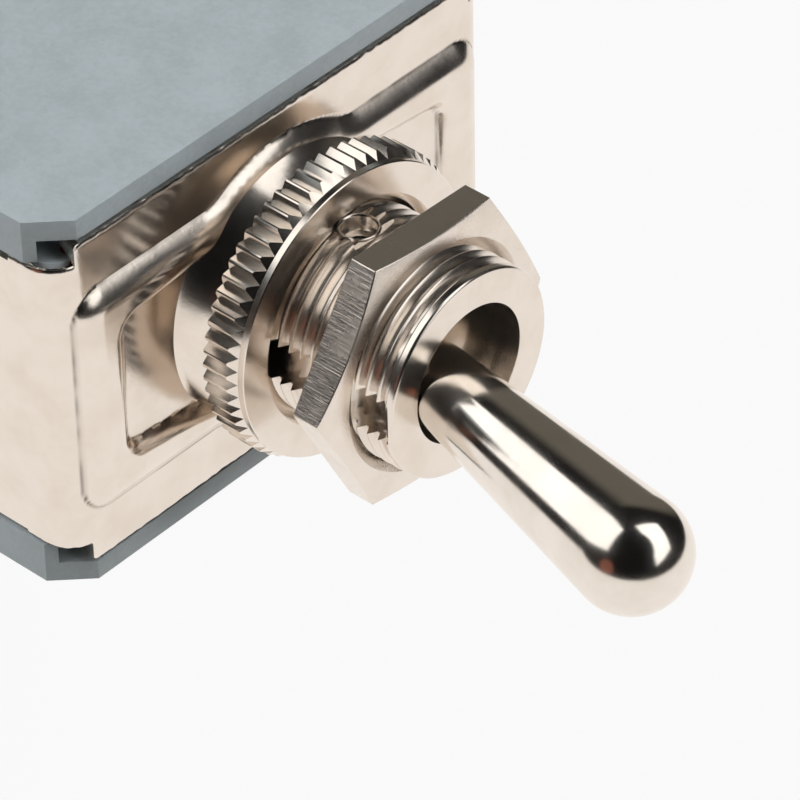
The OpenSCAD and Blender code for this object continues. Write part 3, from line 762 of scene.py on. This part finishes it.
def softened_case():
    """A merged copy of the case, clean enough for a bevel to ease its edges as a mould leaves them."""
    source = bpy.data.objects["case"]
    bm = bmesh.new()
    bm.from_mesh(source.data)
    bmesh.ops.transform(bm, matrix=Matrix.Scale(1 / MM, 4) @ source.matrix_world, verts=bm.verts)
    bmesh.ops.remove_doubles(bm, verts=bm.verts, dist=0.002)
    bmesh.ops.dissolve_limit(bm, angle_limit=math.radians(1), verts=bm.verts, edges=bm.edges)
    return bm


# Name, shape, material, body, the node that it replaces, angle of its sharp edges and their bevel.
finish_piece("case_moulded", softened_case(), moulded_case, "housing", "case", 50, 0.3)
finish_piece("bushing_threaded", bushing(), plated_turned, "housing", "bushing", 30)
finish_piece("pin_flared", pivot_pin(), plated_turned, "housing", "pivot_pin", 40)
finish_piece("ring_nut_knurled", ring_nut(), plated_knurl, "ring_nut",
             "knurled_ring_nut", 22)
finish_piece("hex_nut_turned", hex_nut(), plated_hex, "lock_nut", "hex_nut", 25, 0.05)
finish_piece("lever_polished", lever(), plated_lever, "lever", "lever", 40)
finish_piece("frame_pressed", pressed_sheet(), plated_sheet, "housing", "frame", 40)
finish_piece("frame_boss", boss(), plated_sheet, "housing", "frame", 40)


# ---------------------------------------------------------------- carried-over parts

POLE_LOOKS = {
    "plunger": contact_brass, "plunger_spring": spring_steel, "rocker": contact_brass,
    "moving_contacts": contact_silver, "fixed_contacts": contact_silver,
    "common_terminal": terminal_brass, "end_terminal_front": terminal_brass,
    "end_terminal_rear": terminal_brass,
}


def dress(node, look):
    for slot in bpy.data.objects[node].material_slots:
        slot.material = look


dress("insulating_plate", fibre_board)
dress("actuator", nylon)
for part, part_look in POLE_LOOKS.items():
    for pole in ("left", "right"):
        dress(f"{part}_{pole}", part_look)


# ---------------------------------------------------------------- studio

def pale_floor():
    """Plain floor that the camera sees nearly white but for the object's shadow."""
    bm = bmesh.new()
    bmesh.ops.create_grid(bm, x_segments=1, y_segments=1, size=3)
    bmesh.ops.translate(bm, vec=(0, 0, cad_box[0][2]), verts=bm.verts)
    floor = new_object("floor", new_mesh("floor", bm))
    material, n = new_material("pale_floor")
    paint = n.add("ShaderNodeBsdfDiffuse", {"Color": rgb(0.9, 0.9, 0.9)})
    glow = n.add("ShaderNodeEmission", {"Color": rgb(1, 1, 1), "Strength": 1.0})
    path = n.add("ShaderNodeLightPath")
    mixer = n.add("ShaderNodeMixShader")
    n.set(mixer.inputs[0], n.math("MULTIPLY", path.outputs["Is Camera Ray"], 0.86))
    n.tree.links.new(paint.outputs[0], mixer.inputs[1])
    n.tree.links.new(glow.outputs[0], mixer.inputs[2])
    connect_surface(n, mixer)
    floor.data.materials.append(material)
    floor.visible_glossy = False
    floor.visible_diffuse = False
    floor.visible_shadow = False


# Directions out of the studio's middle, each with the dot products between which its light comes in.
OLIVE_SIDE = ((0.806, 0.262, -0.534), 0.76, 0.93)
SWEEP_SIDE = ((0.0, 1.0, 0.07), -0.09, -0.17)
WARM_SPOT = ((-0.99, 0.09, -0.07), 0.965, 0.98)
CAMERA_SIDE = Vector((-0.567, 0.639, 0.520))
CAMERA_DISC = (CAMERA_SIDE, 0.765, 0.785)
# Each soft box: its centre, half its width, its edges away from and towards the camera, and how much wider
# it gets between them.
SOFT_BOXES = [((-0.438, 0.688, -0.577), 0.45, -0.53, 0.50, 0.0),
              ((0.417, 0.624, 0.659), 0.38, -0.20, 0.50, 0.75)]
SOFT_EDGE = 0.04


def soft_box(n, direction, centre, half_across, v_low, v_high, flare):
    """Mask of a soft box, drawn on the plane that faces its centre."""
    centre = Vector(centre).normalized()
    inward = (CAMERA_SIDE - centre * CAMERA_SIDE.dot(centre)).normalized()
    ahead = n.dot(direction, centre)
    u = n.math("ABSOLUTE", n.math("DIVIDE", n.dot(direction, centre.cross(inward)), ahead))
    v = n.math("DIVIDE", n.dot(direction, inward), ahead)
    reach = n.math("ADD", half_across, n.math("MULTIPLY", n.math("SUBTRACT", v, v_low), flare))
    masks = [n.ramp(n.math("SUBTRACT", u, reach), SOFT_EDGE, -SOFT_EDGE),
             n.ramp(v, v_low - SOFT_EDGE, v_low + SOFT_EDGE),
             n.ramp(v, v_high + SOFT_EDGE, v_high - SOFT_EDGE),
             n.math("GREATER_THAN", ahead, 0.0)]
    mask = masks[0]
    for other in masks[1:]:
        mask = n.math("MULTIPLY", mask, other)
    return mask


def studio_world():
    """White sweep on the -Y side, dark room on the +Y side, two soft boxes and the camera's dark disc.

    Glossy and diffuse rays see different levels, and the camera sees plain white.
    """
    world = bpy.data.worlds.new("studio")
    bpy.context.scene.world = world
    n = Nodes(world)
    direction = n.add("ShaderNodeTexCoord").outputs["Generated"]
    path = n.add("ShaderNodeLightPath")
    glossy = path.outputs["Is Glossy Ray"]

    def towards(side):
        vector, low, high = side
        return n.ramp(n.dot(direction, vector), low, high)

    room = n.mix(towards(OLIVE_SIDE), rgb(0.012, 0.011, 0.011), rgb(0.13, 0.12, 0.10))
    sweep = towards(SWEEP_SIDE)
    cloth = n.mix(glossy, rgb(0.55, 0.55, 0.54), rgb(0.97, 0.93, 0.895))
    light = n.mix(sweep, room, cloth)
    warm = n.math("MULTIPLY", towards(WARM_SPOT), n.math("SUBTRACT", 1.0, sweep))
    light = n.mix(warm, light, rgb(0.22, 0.085, 0.055))
    glow = n.mix(glossy, rgb(4.0, 4.05, 4.1), rgb(1.35, 1.33, 1.30))
    for place_and_size in SOFT_BOXES:
        light = n.mix(soft_box(n, direction, *place_and_size), light, glow)
    light = n.mix(towards(CAMERA_DISC), light, rgb(0.006, 0.006, 0.006))
    light = n.mix(path.outputs["Is Camera Ray"], light, rgb(1, 1, 1))
    shader = n.add("ShaderNodeBackground", {"Color": light, "Strength": 1.0})
    connect_surface(n, shader, "ShaderNodeOutputWorld")


def camera():
    data = bpy.data.cameras.new("camera")
    data.sensor_width = 36
    data.lens = 252.86
    data.clip_start, data.clip_end = 0.01, 20
    cam = new_object("camera", data)
    right = Vector((0.66623, -0.01540, 0.74558))
    up = Vector((0.48430, 0.76920, -0.41687))
    turn = Matrix((right, up, right.cross(up))).transposed().to_4x4()
    cam.matrix_world = Matrix.Translation((-0.16549, 0.18205, 0.15732)) @ turn
    bpy.context.scene.camera = cam


pale_floor()
studio_world()
camera()
bpy.context.scene.view_settings.view_transform = "Standard"
